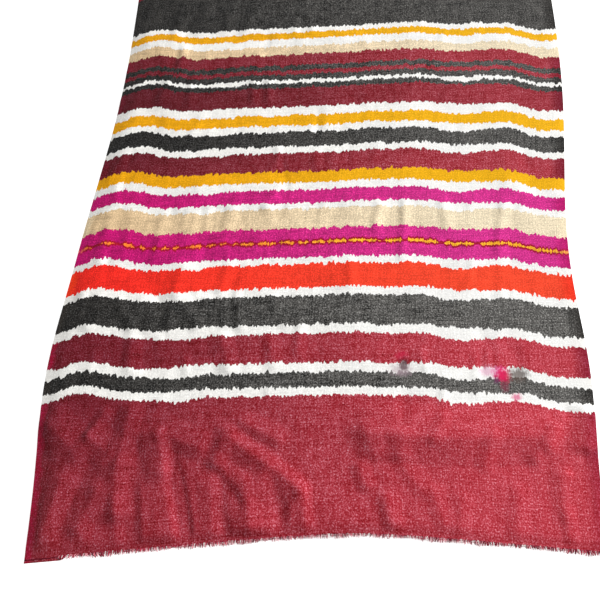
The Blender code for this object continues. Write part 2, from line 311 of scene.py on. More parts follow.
def cloth_height(x, y, edge):
    """Height of the cloth's underside: folds, creases and lie, all lower towards the edges.

    The far end has the near end's creases turned half round, and chance ones lie between.
    """
    from_near = y - NEAR_HEM + hem_drop(x, NEAR_DROP) - FRINGE_DEPTH
    to_far = FAR_HEM + hem_drop(x, FAR_DROP) - y - FRINGE_DEPTH
    along = y - NEAR_HEM
    ends = fade(from_near, HEM_FADE) * fade(to_far, HEM_FADE)
    ends = ends * (EDGE_SHARE + (1.0 - EDGE_SHARE) * fade(edge, EDGE_FADE))
    folds = FOLD_SHARE * ridges(NEAR_FOLDS + STRIPE_FOLDS + FAR_FOLDS, x, along)
    sharp = pleats(CREASES, x, along) + FAR_SHARE * pleats(CREASES, -x, LENGTH - along)
    for row in SCATTERED:
        sharp += pleats(scattered(*row), x, along)
    return np.maximum((folds + sharp + lie(x, along) + LOWEST) * ends, 0.0)


# The stripes wander towards the near hem and back. In millimetres: a place across, and the
# shift there of the stripes at 0.46 m and at 0.26 m from the hem
WANDER = np.array((
    # across, far, near
    (-280, 1, 3),
    (-265, -3, -1),
    (-247, -10, -9),
    (-228, -11, -7),
    (-208, -6, -3),
    (-190, -1, 0),
    (-165, -1, 1),
    (-130, -3, -1),
    (-110, -3, -3),
    (-90, -2, -2),
    (-50, -2, -3),
    (0, -1, -3),
    (45, -3, -4),
    (75, -2, -2),
    (100, -2, -2),
    (112, -1, -2),
    (132, 3, 1),
    (152, 5, 5),
    (172, 5, 5),
    (190, 6, 6),
    (210, 6, 5),
    (230, 15, 11),
    (248, 21, 16),
    (267, 21, 18),
)) * 0.001
WANDER_NEAR, WANDER_FAR, WANDER_ROUND = 0.26, 0.46, 0.007
BROAD_WHITE = 0.003
BROAD_LEFT, BROAD_LEFT_HALF = -0.133, 0.014
BROAD_RIGHT, BROAD_RIGHT_HALF = 0.152, 0.022


def wander(across, along):
    """Shift of the stripes towards the hem: between the table's two columns, rounded off."""
    far = fade(along - WANDER_NEAR, WANDER_FAR - WANDER_NEAR)
    shift = np.zeros_like(across)
    for step in (-WANDER_ROUND, 0.0, WANDER_ROUND):
        upper = np.interp(across + step, WANDER[:, 0], WANDER[:, 1])
        lower = np.interp(across + step, WANDER[:, 0], WANDER[:, 2])
        shift += (upper * far + lower * (1.0 - far)) / 3.0
    return shift


def broadening(across):
    """How much further each white stripe reaches to the hem: a bell curve and a flat one."""
    left = np.exp(-((across - BROAD_LEFT) / BROAD_LEFT_HALF) ** 2)
    right = np.exp(-((across - BROAD_RIGHT) / BROAD_RIGHT_HALF) ** 4)
    return BROAD_WHITE * (left + right)


COLUMNS = 236
ROW_STRETCHES = (
    # up to, row step
    (0.135, 0.0022),
    (0.390, 0.0034),
    (0.680, 0.0048),
    (LENGTH - FRINGE_DEPTH, 0.0086),
)
EDGE_THICK, EDGE_ROUND = 0.0002, 0.0055
FAR_WANDER, FAR_SWAY, FAR_SWAY_RUN = 0.8, 0.004, 0.061
MAP_GAP, MAP_MARGIN, MAP_SIDE = 0.01, 0.004, 1.9


def cloth_rows():
    """Y of the rows of the grid, closer together where the creases are finer."""
    rows = [np.array([FRINGE_DEPTH])]
    for end, step in ROW_STRETCHES:
        start = rows[-1][-1]
        count = 2 * round((end - start) / step / 2.0)
        rows.append(np.linspace(start, end, count + 1)[1:])
    return NEAR_HEM + np.concatenate(rows)


def store(mesh, name, kind, values):
    """A named value on each point of a mesh, a single number or a vector."""
    attribute = mesh.attributes.new(name, kind, "POINT")
    field = "value" if kind == "FLOAT" else "vector"
    attribute.data.foreach_set(field, np.ascontiguousarray(values, np.float32).ravel())


def store_map(mesh, name, corners):
    """A UV map from one pair of numbers for each corner of each face."""
    layer = mesh.uv_layers.new(name=name)
    layer.data.foreach_set("uv", np.ascontiguousarray(corners, np.float32).ravel())


def grid_quads(rows, columns, first=0):
    """Corner numbers of a grid's quads, counter-clockwise seen from above."""
    number = first + np.arange(rows * columns).reshape(rows, columns)
    corners = (number[:-1, :-1], number[:-1, 1:], number[1:, 1:], number[1:, :-1])
    return np.stack(corners, -1).reshape(-1, 4)


def rim_of(rows, columns, first=0):
    """Numbers of a grid's outermost points, counter-clockwise seen from above."""
    number = first + np.arange(rows * columns).reshape(rows, columns)
    return np.concatenate((number[0, :-1], number[:-1, -1], number[-1, :0:-1], number[:0:-1, 0]))


def make_cloth():
    """The cloth as a closed shell: a grid above, one with every other point below, and a rim.

    The rim's faces have two points of the grid below and three of the one above, and its
    edges are sharp. Each point stores where it lies among the yarns and the stripes.
    """
    across, y = np.meshgrid(np.linspace(-1.0, 1.0, COLUMNS + 1), cloth_rows())
    plan_x, plan_y = in_plan(across, y)
    across_m = across * half_of(y)
    edge = half_of(y) - np.abs(across_m)
    under = cloth_height(plan_x, plan_y, edge)
    inwards = np.minimum(edge, np.minimum(y - y[0, 0], y[-1, 0] - y))
    thick = EDGE_THICK + (CLOTH - EDGE_THICK) * fade(inwards, EDGE_ROUND)
    top = np.stack((plan_x, plan_y, under + thick), -1)
    bottom = np.stack((plan_x, plan_y, under), -1)[::2, ::2]
    rows, columns = across.shape
    count = rows * columns
    quads = grid_quads(rows, columns)
    back_quads = grid_quads(*bottom.shape[:2], count)[:, ::-1]
    loop = rim_of(rows, columns)
    back_loop = rim_of(*bottom.shape[:2], count)
    start, middle, end = loop[::2], loop[1::2], np.roll(loop, -2)[::2]
    rim = np.stack((start, back_loop, np.roll(back_loop, -1), end, middle), -1)
    points = np.concatenate((top.reshape(-1, 3), bottom.reshape(-1, 3)))
    mesh = bpy.data.meshes.new("shawl_cloth")
    mesh.from_pydata(points, [], quads.tolist() + back_quads.tolist() + rim.tolist())
    mesh.shade_smooth()
    on_rim = np.zeros(len(points), bool)
    on_rim[loop] = True
    on_rim[back_loop] = True
    edge_ends = np.empty(2 * len(mesh.edges), np.int32)
    mesh.edges.foreach_get("vertices", edge_ends)
    sharp = mesh.attributes.new("sharp_edge", "BOOLEAN", "EDGE")
    sharp.data.foreach_set("value", on_rim[edge_ends.reshape(-1, 2)].all(1))

    along = plan_y - NEAR_HEM
    to_far = LENGTH - along
    near_side = along < 0.5 * LENGTH
    near_stripe = along + wander(across_m, along)
    far_stripe = to_far + FAR_WANDER * wander(-across_m, to_far)
    far_stripe = far_stripe + FAR_SWAY * np.sin(across_m / FAR_SWAY_RUN)
    stripe = np.where(near_side, near_stripe, far_stripe)
    broad = np.where(near_side, broadening(across_m), broadening(-across_m))
    yarns = np.stack((across_m, y - NEAR_HEM, edge), -1)
    values = np.concatenate((yarns, stripe[..., None], broad[..., None]), -1)
    values = np.concatenate((values.reshape(-1, 5), values[::2, ::2].reshape(-1, 5)))
    store(mesh, "yarns", "FLOAT_VECTOR", values[:, :3])
    store(mesh, "stripe", "FLOAT", values[:, 3])
    store(mesh, "broad", "FLOAT", values[:, 4])

    sheet_map = points[:, :2] - (cad_low.x, cad_low.y)
    back_map = sheet_map + (cad_high.x - cad_low.x + MAP_GAP, 0.0)
    outward = sheet_map[loop] - np.roll(sheet_map[loop], 2, 0)
    outward = np.stack((outward[:, 1], -outward[:, 0]), -1)
    outward /= np.linalg.norm(outward, axis=1, keepdims=True)
    beside = (sheet_map[loop] + CLOTH * outward)[::2]
    rim_map = sheet_map[rim]
    rim_map[:, 1] = beside
    rim_map[:, 2] = np.roll(beside, -1, 0)
    corners = (sheet_map[quads], back_map[back_quads], rim_map)
    corners = np.concatenate([part.reshape(-1, 2) for part in corners])
    store_map(mesh, "OFBake", (corners + MAP_MARGIN) / MAP_SIDE)
    return bpy.data.objects.new("shawl_cloth", mesh)


cloth = make_cloth()
bpy.context.scene.collection.objects.link(cloth)


# The dyed yarns
# The warp was tied and dyed before weaving, so every stripe has a jagged edge where single
# yarns slipped. Thin pale weft and a brushed nap give the colours their frosted grain.

BURGUNDY, CHARCOAL, ORANGE, MAGENTA, TAN, OCHRE = range(6)
WHITE = -1
STRIPES = (
    # inner edge in metres from the hem, yarn
    (0.1331, BURGUNDY),
    (0.1407, WHITE),
    (0.1572, CHARCOAL),
    (0.1661, WHITE),
    (0.1991, BURGUNDY),
    (0.2085, WHITE),
    (0.2425, CHARCOAL),
    (0.2504, WHITE),
    (0.2799, ORANGE),
    (0.2863, WHITE),
    (0.3231, MAGENTA),
    (0.3498, TAN),
    (0.3567, WHITE),
    (0.3752, MAGENTA),
    (0.3841, WHITE),
    (0.3993, OCHRE),
    (0.4262, BURGUNDY),
    (0.4338, WHITE),
    (0.4559, CHARCOAL),
    (0.4645, WHITE),
    (0.4808, OCHRE),
    (0.4922, WHITE),
    (0.5207, BURGUNDY),
    (0.5294, CHARCOAL),
    (0.5330, WHITE),
    (0.5419, CHARCOAL),
    (0.5480, BURGUNDY),
    (0.5560, CHARCOAL),
    (0.5736, BURGUNDY),
    (0.5882, TAN),
    (0.5993, WHITE),
    (0.6093, OCHRE),
    (0.6162, WHITE),
    (0.6787, CHARCOAL),
    (0.9200, BURGUNDY),
)
# A colour ramp is read in 256 steps, so three of them share the stripes' length
STRETCHES = (0.115, 0.303, 0.505, 0.707)
OVERLAP = 0.0034
RAMP_STEPS = 255.0

# Colours as the eye reads them, 0 to 255: at the left, at the right, and at the selvedge,
# in the order of the yarns' names. The right column is paler and brighter with painted light
YARN_COLOURS = (
    ((112, 26, 38), (202, 68, 81), (166, 14, 56)),
    ((42, 40, 38), (103, 101, 98), (50, 46, 42)),
    ((240, 42, 32), (252, 80, 48), (248, 62, 22)),
    ((188, 16, 106), (218, 54, 146), (196, 8, 108)),
    ((218, 188, 147), (244, 230, 200), (240, 222, 186)),
    ((232, 162, 8), (248, 186, 20), (242, 176, 12)),
)
# The white at the left and, brighter with painted light, at the right
WHITE_LEFT, WHITE_RIGHT = (243, 241, 236), (254, 253, 250)
LIT = 1.09


def dye(colour):
    """Colour of the yarn itself from one read in the light, 0 to 255 to linear."""
    share = np.array(colour) / 255.0
    linear = np.where(share <= 0.04045, share / 12.92, ((share + 0.055) / 1.055) ** 2.4)
    return (*(linear / LIT), 1.0)


def add(tree, kind, inputs=(), **settings):
    """One shader node, with its settings and its inputs as values or links."""
    node = tree.nodes.new("ShaderNode" + kind)
    for key, value in settings.items():
        setattr(node, key, value)
    for key, value in dict(inputs).items():
        if isinstance(value, bpy.types.NodeSocket):
            tree.links.new(value, node.inputs[key])
        else:
            node.inputs[key].default_value = value
    return node


def calc(tree, operation, first, second=0.0, third=0.0):
    """The result of a Math node."""
    inputs = {0: first, 1: second, 2: third}
    return add(tree, "Math", inputs, operation=operation).outputs[0]


def times(tree, *values):
    """The product of several values."""
    product = values[0]
    for value in values[1:]:
        product = calc(tree, "MULTIPLY", product, value)
    return product


def rest(tree, share):
    """What a share leaves of the whole."""
    return calc(tree, "SUBTRACT", 1.0, share)


def sway(tree, noise, weight, total=0.0):
    """A noise's departure from a half, times a weight, added to a total."""
    return calc(tree, "MULTIPLY_ADD", calc(tree, "SUBTRACT", noise, 0.5), weight, total)


def blend(tree, share, first, second):
    """The number part way from the first to the second."""
    return add(tree, "Mix", {0: share, 2: first, 3: second}).outputs[0]


def mix(tree, share, first, second, how="MIX"):
    """The colour part way from the first to the second."""
    inputs = {0: share, 6: first, 7: second}
    return add(tree, "Mix", inputs, data_type="RGBA", blend_type=how).outputs[2]


def remap(tree, value, low, high, to_low=0.0, to_high=1.0, shape="LINEAR"):
    """A value carried from one range to another and kept inside it."""
    inputs = {0: value, 1: low, 2: high, 3: to_low, 4: to_high}
    return add(tree, "MapRange", inputs, interpolation_type=shape).outputs[0]


def mottle(tree, vector, size, detail=1.0, place=(0.0, 0.0, 0.0)):
    """Soft noise from 0 to 1 with a patch size of its own in each direction."""
    scale = tuple(1.0 / length for length in size)
    spread = add(tree, "Mapping", {0: vector, 1: place, 3: scale}).outputs[0]
    noise = add(tree, "TexNoise", {"Vector": spread, "Scale": 1.0, "Detail": detail})
    return noise.outputs[0]


def ramp(tree, value, stops):
    """A colour ramp of flat steps: each stop is a place and a colour."""
    node = add(tree, "ValToRGB", {0: value})
    node.color_ramp.interpolation = "CONSTANT"
    elements = node.color_ramp.elements
    while len(elements) < len(stops):
        elements.new(1.0)
    for element, (place, colour) in zip(elements, stops):
        element.position = place
        element.color = colour
    return node


def whites():
    """The white stripes as (hem side, far side), with the coloured runs' middles."""
    spans = []
    start = 0.0
    for end, yarn in STRIPES:
        if yarn == WHITE:
            spans.append((start, end))
        start = end
    outer = [0.0] + [0.5 * (a[1] + b[0]) for a, b in zip(spans, spans[1:])] + [STRIPES[-1][0]]
    return spans, outer


def yarn_at(place):
    """The coloured yarn at a distance from the hem, the nearer one under the white."""
    start = 0.0
    last = BURGUNDY
    runs = []
    for end, yarn in STRIPES:
        if yarn == WHITE:
            runs.append((0.5 * (start + end), last))
        else:
            last = yarn
            runs.append((end, yarn))
        start = end
    return next(yarn for end, yarn in runs if place < end)


def stripe_ramp(tree, distance, from_hem):
    """Yarn number in grey and white in alpha, by distance from the hem.

    With from_hem the white begins sharp at its hem side, and else it ends sharp at its
    far side. The other side runs on almost to the middle of the coloured run.
    """
    spans, middles = whites()
    breaks = {0.0}
    start = 0.0
    for end, yarn in STRIPES:
        breaks.update((end, 0.5 * (start + end)))
        start = end
    for middle in middles:
        breaks.update((middle - OVERLAP, middle + OVERLAP))
    breaks = sorted(breaks)

    def look(place):
        for number, (hem_side, far_side) in enumerate(spans):
            low = hem_side if from_hem else middles[number] + OVERLAP
            high = middles[number + 1] - OVERLAP if from_hem else far_side
            if low <= place < high:
                return yarn_at(place), 1.0
        return yarn_at(place), 0.0

    results = []
    for low, high in zip(STRETCHES, STRETCHES[1:]):
        stops = []
        inside = [low] + [place for place in breaks if low < place < high] + [high]
        for place, following in zip(inside, inside[1:]):
            yarn, white = look(0.5 * (place + following))
            if from_hem:
                yarn = 0
            grey = (yarn + 0.5) / len(YARN_COLOURS)
            colour = (grey, grey, grey, white)
            share = (place - low) / (high - low)
            snapped = (math.floor(share * RAMP_STEPS) + 0.5) / RAMP_STEPS if share else 0.0
            if not stops or stops[-1][1] != colour:
                stops.append((snapped, colour))
        share = remap(tree, distance, low, high)
        results.append(ramp(tree, share, stops))
    number, white = results[0].outputs
    for node, low in zip(results[1:], STRETCHES[1:]):
        beyond = calc(tree, "GREATER_THAN", distance, low)
        number = mix(tree, beyond, number, node.outputs[0])
        white = blend(tree, beyond, white, node.outputs[1])
    return number, white


def per_yarn(tree, number, colours):
    """The colour that a list has for each yarn number."""
    stops = [(yarn / len(colours), colour) for yarn, colour in enumerate(colours)]
    return ramp(tree, number, stops).outputs[0]


def palette(tree, number, column):
    """The colour of each yarn number in one column of the yarn colours."""
    return per_yarn(tree, number, [dye(row[column]) for row in YARN_COLOURS])


def new_material(name, finish):
    """A material with its Principled BSDF's values set: the material, its tree, the shader."""
    material = bpy.data.materials.new(name)
    material.use_nodes = True
    shader = material.node_tree.nodes["Principled BSDF"]
    for key, value in finish.items():
        shader.inputs[key].default_value = value
    return material, material.node_tree, shader


BRUSHED = {
    "Roughness": 0.92,
    "Specular IOR Level": 0.08,
    "Sheen Weight": 0.05,
    "Sheen Roughness": 0.45,
}
material, tree, shader = new_material("striped_cloth", BRUSHED)

yarns = add(tree, "Attribute", attribute_name="yarns").outputs[1]
across, along, edge = add(tree, "SeparateXYZ", {0: yarns}).outputs
stripe = add(tree, "Attribute", attribute_name="stripe").outputs[2]
broad = add(tree, "Attribute", attribute_name="broad").outputs[2]

# Teeth: groups of yarns that slipped together, the same at neighbouring stripes, each
# stripe's own, and single bundles that slipped by themselves. Each has its width across,
# its run along the cloth and how far it slipped
YARN_PITCH = 0.0005
SHARED_TOOTH, SHARED_RUN, SHARED_SLIP = 0.0080, 0.13, 0.0080
OWN_TOOTH, OWN_RUN, OWN_SLIP = 0.0024, 0.011, 0.0078
BUNDLE, BUNDLE_RUN, BUNDLE_SLIP = 0.0022, 0.0135, 0.0018
FAR_SIDE = 0.0012


def slipped(tree, place):
    """How far the yarns slipped along the cloth, in metres, in steps of single yarns."""
    yarn = calc(tree, "SNAP", across, YARN_PITCH)
    vector = add(tree, "CombineXYZ", {0: yarn, 1: stripe}).outputs[0]
    shared = mottle(tree, vector, (SHARED_TOOTH, SHARED_RUN, 1.0), 3.0, place)
    own_place = (place[0] + 31.0, place[1], 5.0)
    own = mottle(tree, vector, (OWN_TOOTH, OWN_RUN, 1.0), 1.0, own_place)
    bundle = calc(tree, "SNAP", calc(tree, "ADD", across, place[0]), BUNDLE)
    stretch = calc(tree, "SNAP", stripe, BUNDLE_RUN)
    vector = add(tree, "CombineXYZ", {0: bundle, 1: stretch}).outputs[0]
    single = add(tree, "TexWhiteNoise", {0: vector}).outputs[0]
    slip = sway(tree, own, OWN_SLIP, sway(tree, shared, SHARED_SLIP))
    return sway(tree, single, BUNDLE_SLIP, slip)


inner = calc(tree, "ADD", calc(tree, "SUBTRACT", stripe, FAR_SIDE), slipped(tree, (0.0, 0.0, 0.0)))
outer = calc(tree, "ADD", calc(tree, "ADD", stripe, broad), slipped(tree, (17.0, 3.0, 9.0)))
number, white_inside = stripe_ramp(tree, inner, False)
white_outside = stripe_ramp(tree, outer, True)[1]
white = times(tree, white_inside, white_outside)
coloured = rest(tree, white)

# Painted light: the colours turn paler and brighter towards the right and at the hem, standing
# in for the light and its haze from the right. The dark yarns take less of it away from the hem,
# and the strong dyes take less beside the right selvedge, a painted shade there.
# Each range here and below has a value's two ends, and what it becomes there
PAINTED_LIGHT_ACROSS = (-0.235, 0.235)
PAINTED_LIGHT_POWER, PAINTED_LIGHT_MOST = 1.15, 0.84
PAINTED_LIGHT_AT_HEM, PAINTED_LIGHT_HEM_MOST = (0.150, 0.015, 0.0, 0.42), 0.70
LESS_LIGHT_AWAY, LESS_LIGHT_BEYOND = (0.21, 0.58, 0.0, 0.40), (0.60, 0.62, 0.0, 0.12)
LESS_LIGHT_AT_EDGE, OFF_HEM = (0.017, 0.002, 0.0, 0.85), (0.020, 0.150, 0.35, 1.0)
FAR_SHADE_FROM, FAR_SHADE_TO = (0.36, 0.46, 0.0, 0.34), (0.520, 0.545, 1.0, 0.1)
painted_light = remap(tree, across, *PAINTED_LIGHT_ACROSS)
painted_light = calc(tree, "MINIMUM", calc(tree, "POWER", painted_light, PAINTED_LIGHT_POWER), PAINTED_LIGHT_MOST)
at_hem = remap(tree, along, *PAINTED_LIGHT_AT_HEM)
more_hem_light = calc(tree, "MAXIMUM", calc(tree, "SUBTRACT", PAINTED_LIGHT_HEM_MOST, painted_light), 0.0)
painted_light = calc(tree, "MULTIPLY_ADD", at_hem, more_hem_light, painted_light)
burgundy_yarn = calc(tree, "LESS_THAN", number, CHARCOAL / len(YARN_COLOURS))
dark_yarn = calc(tree, "LESS_THAN", number, ORANGE / len(YARN_COLOURS))
strong_dye = calc(tree, "LESS_THAN", number, TAN / len(YARN_COLOURS))
dark_yarn = times(tree, dark_yarn, coloured)
away = calc(tree, "ADD", remap(tree, stripe, *LESS_LIGHT_AWAY), remap(tree, stripe, *LESS_LIGHT_BEYOND))
painted_light = times(tree, painted_light, rest(tree, times(tree, away, dark_yarn)))
# Painted shade beside the right selvedge: the strong dyes take less painted light there
at_right = calc(tree, "GREATER_THAN", across, 0.0)
strong_edge = times(tree, strong_dye, remap(tree, along, *OFF_HEM))
right_edge_unlit = times(tree, at_right, remap(tree, edge, *LESS_LIGHT_AT_EDGE), strong_edge)
painted_light = times(tree, painted_light, rest(tree, right_edge_unlit))
# Painted shade: the dark yarns darker at the left between these distances from the hem
far_shade = times(tree, remap(tree, stripe, *FAR_SHADE_FROM), dark_yarn)
far_shade = times(tree, far_shade, remap(tree, stripe, *FAR_SHADE_TO), rest(tree, painted_light))
colour = mix(tree, painted_light, palette(tree, number, 0), palette(tree, number, 1))
white_colour = mix(tree, painted_light, dye(WHITE_LEFT), dye(WHITE_RIGHT))
dense = palette(tree, number, 2)

# One slack orange line inside the magenta stripe, broken where it dips below the weft,
# with a dark red line against it. Its half thickness is below zero where it dips
LINE_AT, THIN_HALF, THICK_HALF = 0.3070, -0.0010, 0.0021
OUTLINE, OUTLINE_SHARE = 0.0025, 0.92
LINE_LEFT, LINE_RIGHT = dye((244, 128, 44)), dye((252, 180, 44))
OUTLINE_COLOUR = dye((160, 14, 32))
SLACK_RUN, DASH_RUN, BRISTLE_RUN, LINE_SLACK = 0.0062, 0.0130, 0.0019, 0.0078
MORE_DASHES, BRISTLE_SHARE = (-0.15, 0.25, 0.0, 0.08), (0.34, 0.66, 0.15, 1.35)
DASH_RISES, LINE_TURNS = (0.46, 0.54), (-0.12, 0.05)
strand = add(tree, "CombineXYZ", {0: calc(tree, "SNAP", across, YARN_PITCH)}).outputs[0]
slack = mottle(tree, strand, (SLACK_RUN, 1.0, 1.0), 3.0, (0.0, 41.0, 0.0))
off_line = sway(tree, slack, LINE_SLACK, stripe)
off_line = calc(tree, "ABSOLUTE", calc(tree, "SUBTRACT", off_line, LINE_AT))
dashes = mottle(tree, strand, (DASH_RUN, 1.0, 1.0), 3.0, (8.0, 2.0, 0.0))
dashes = calc(tree, "ADD", dashes, remap(tree, across, *MORE_DASHES))
thick = remap(tree, dashes, *DASH_RISES, THIN_HALF, THICK_HALF)
bristles = mottle(tree, strand, (BRISTLE_RUN, 1.0, 1.0), 1.0, (0.0, 57.0, 0.0))
thick = times(tree, thick, remap(tree, bristles, *BRISTLE_SHARE))
on_line = calc(tree, "LESS_THAN", off_line, thick)
on_outline = calc(tree, "LESS_THAN", off_line, calc(tree, "ADD", thick, OUTLINE))
line_colour = mix(tree, remap(tree, across, *LINE_TURNS), LINE_LEFT, LINE_RIGHT)
colour = mix(tree, times(tree, on_outline, OUTLINE_SHARE), colour, OUTLINE_COLOUR)
colour = mix(tree, on_line, colour, line_colour)

colour = mix(tree, white, colour, white_colour)

# Grain: brushed nap over single yarns, slubs along the warp, thick and thin weft picks. It
# shows most on the burgundy and the charcoal, and hardly on the white
NAP_DEPTH, WHITE_NAP = (1.0, 1.75, 0.48, 0.70, 0.50, 0.36), 0.22
NAP_BY_PAINTED_LIGHT, CALM_BY_PAINTED_LIGHT = (0.0, 1.0, 1.18, 0.84), (0.0, 0.9, 1.0, 0.55)
GRAIN_SIZE, GRAIN_DEPTH = (0.0014, 0.0015, 1.0), 2.0
SLUB_SIZE, SLUB_DEPTH = (0.0013, 0.032, 1.0), 0.8
PICK_SIZE, PICK_DEPTH = (0.034, 0.0014, 1.0), 0.9
LOOSE_SIZE, LOOSE_SHADE = (0.055, 0.0019, 1.0), (0.66, 0.74, 0.0, -0.20)
CLOUD_SIZE = (0.009, 0.012, 1.0)
grain = mottle(tree, yarns, GRAIN_SIZE, 2.0, (0.0, 0.0, 2.0))
slubs = mottle(tree, yarns, SLUB_SIZE, 1.0, (0.0, 0.0, 6.0))
picks = mottle(tree, yarns, PICK_SIZE, 1.0, (0.0, 0.0, 9.0))
clouds = mottle(tree, yarns, CLOUD_SIZE, 3.0, (0.0, 0.0, 12.0))
loose_pick = mottle(tree, yarns, LOOSE_SIZE, 1.0, (3.0, 0.0, 20.0))
nap = per_yarn(tree, number, [(share, share, share, 1.0) for share in NAP_DEPTH])
nap = blend(tree, white, nap, WHITE_NAP)
nap = times(tree, nap, remap(tree, painted_light, *NAP_BY_PAINTED_LIGHT))
calm = remap(tree, painted_light, *CALM_BY_PAINTED_LIGHT)
uneven = sway(tree, grain, GRAIN_DEPTH)
uneven = sway(tree, slubs, SLUB_DEPTH, uneven)
uneven = sway(tree, picks, PICK_DEPTH, uneven)
uneven = sway(tree, clouds, calm, uneven)
uneven = calc(tree, "ADD", uneven, remap(tree, loose_pick, *LOOSE_SHADE))

# The selvedge's yarns lie closer: a richer colour and hardly any nap. At the left it stands
# out as a bright band with a painted shadow beside it, at the right it darkens slowly with
# painted shade
EDGE_RAGGED = 0.012
LEFT_BAND, RIGHT_BAND = (0.0088, 0.0040), (0.016, 0.002, 0.0, 0.45)
PATCH_SIZE, PATCHY = (0.0026, 0.0046, 1.0), (0.38, 0.60, 0.60, 1.0)
BAND_AWAY = (0.28, 0.40, 1.0, 0.35)
DENSE_SHARE, DENSE_NAP = 0.9, 0.6
BESIDE_BAND, BESIDE_SHADE = (0.026, 0.014), 0.78
RIGHT_EDGE_SHADE = 0.30
ragged_edge = sway(tree, clouds, EDGE_RAGGED, edge)
patches = mottle(tree, yarns, PATCH_SIZE, 2.0, (0.0, 0.0, 31.0))
left_band = remap(tree, ragged_edge, *LEFT_BAND)
left_band = times(tree, left_band, remap(tree, patches, *PATCHY), remap(tree, stripe, *BAND_AWAY))
band = blend(tree, at_right, left_band, remap(tree, ragged_edge, *RIGHT_BAND))
selvedge = times(tree, band, coloured)
colour = mix(tree, times(tree, selvedge, DENSE_SHARE), colour, dense)
nap = times(tree, nap, remap(tree, band, 0.0, 1.0, 1.0, DENSE_NAP))
# Painted shadow: a dark band beside the bright one at the left
beside = calc(tree, "SUBTRACT", remap(tree, ragged_edge, *BESIDE_BAND), left_band)
beside = times(tree, beside, rest(tree, at_right))
# Painted shade: the strong dyes darken towards the right selvedge
right_edge_shade = times(tree, selvedge, at_right, RIGHT_EDGE_SHADE, strong_edge)
painted_shade = times(tree, rest(tree, far_shade), remap(tree, beside, 0.0, 1.0, 1.0, BESIDE_SHADE))
painted_shade = times(tree, painted_shade, rest(tree, right_edge_shade))

# Fibre ends that stand out of the nap: brighter than the yarn and a little paler. The gaps
# between burgundy yarns are a purer red and their raised parts a paler one
PALE_FIBRE = (0.046, 0.050, 0.052, 1.0)
FIBRE_IN_GRAIN, FIBRE_BY_PAINTED_LIGHT = (0.52, 0.78), (0.0, 1.0, 0.55, 1.0)
FIBRE_SHINE, GAP_SHADE, DARKEST = 0.75, 0.96, 0.12
# How much further than the shade itself red, green and blue move in the burgundy
BURGUNDY_TURN = (-0.35, 1.20, 1.00)
fibre = times(tree, remap(tree, grain, *FIBRE_IN_GRAIN), nap, remap(tree, painted_light, *FIBRE_BY_PAINTED_LIGHT))
shade = calc(tree, "MAXIMUM", calc(tree, "MULTIPLY_ADD", uneven, nap, 1.0), DARKEST)
shade = times(tree, shade, calc(tree, "MULTIPLY_ADD", fibre, FIBRE_SHINE, GAP_SHADE))
burgundy_yarn = times(tree, burgundy_yarn, coloured)
powers = [calc(tree, "MULTIPLY_ADD", burgundy_yarn, turn, 1.0) for turn in BURGUNDY_TURN]
channels = {channel: calc(tree, "POWER", shade, power) for channel, power in enumerate(powers)}
shades = add(tree, "CombineXYZ", channels).outputs[0]
toned = add(tree, "VectorMath", {0: colour, 1: shades}, operation="MULTIPLY").outputs[0]
# All the painted shade scales the colour: at the left away from the hem, beside the left band, and
# at the right selvedge
toned = add(tree, "VectorMath", {0: toned, "Scale": painted_shade}, operation="SCALE").outputs[0]
toned = mix(tree, fibre, toned, PALE_FIBRE, "ADD")

# Stains in the first white stripes: a bled dye spot, its smears, and two smudges
STAINS = (
    # x       y        wide    high    colour, strength
    (0.1650, -0.7505, 0.0105, 0.0062, (244, 190, 214), 0.75),
    (0.1756, -0.7528, 0.0096, 0.0074, (228, 62, 148), 0.85),
    (0.1785, -0.7554, 0.0088, 0.0082, (218, 26, 84), 0.95),
    (0.1716, -0.7606, 0.0034, 0.0040, (104, 50, 92), 0.70),
    (0.1786, -0.7664, 0.0046, 0.0070, (134, 52, 74), 0.70),
    (0.1930, -0.7545, 0.0112, 0.0086, (92, 78, 72), 0.85),
    (0.1888, -0.7772, 0.0058, 0.0038, (226, 110, 150), 0.85),
    (0.0785, -0.7325, 0.0080, 0.0054, (214, 30, 78), 0.45),
    (0.0770, -0.7474, 0.0135, 0.0074, (184, 162, 170), 0.65),
    (0.0806, -0.7375, 0.0062, 0.0056, (96, 22, 32), 0.55),
    (0.0798, -0.7428, 0.0054, 0.0064, (84, 50, 58), 0.80),
)
SPOT_SIZE, SPOT_RAGGED = (0.0040, 0.0034, 1.0), 1.1
STREAK_SIZE, STREAKY = (0.0010, 0.0075, 1.0), 0.9
SPOT_RIM, SPOT_CORE = 1.15, 0.45
place = add(tree, "TexCoord").outputs[3]
ragged = mottle(tree, place, SPOT_SIZE, 3.0, (5.0, 5.0, 1.0))
streaks = mottle(tree, yarns, STREAK_SIZE, 1.0, (0.0, 0.0, 25.0))
spread = sway(tree, streaks, STREAKY, sway(tree, ragged, SPOT_RAGGED))
for x, y, wide, high, stain, strength in STAINS:
    reach = (1.0 / wide, 1.0 / high, 0.0)
    start = (-x / wide, -y / high, 0.0)
    spot = add(tree, "Mapping", {0: place, 1: start, 3: reach}).outputs[0]
    far = add(tree, "VectorMath", {0: spot}, operation="LENGTH").outputs[1]
    wet = remap(tree, calc(tree, "ADD", far, spread), SPOT_RIM, SPOT_CORE, 0.0, strength)
    toned = mix(tree, wet, toned, dye(stain))
tree.links.new(toned, shader.inputs["Base Color"])

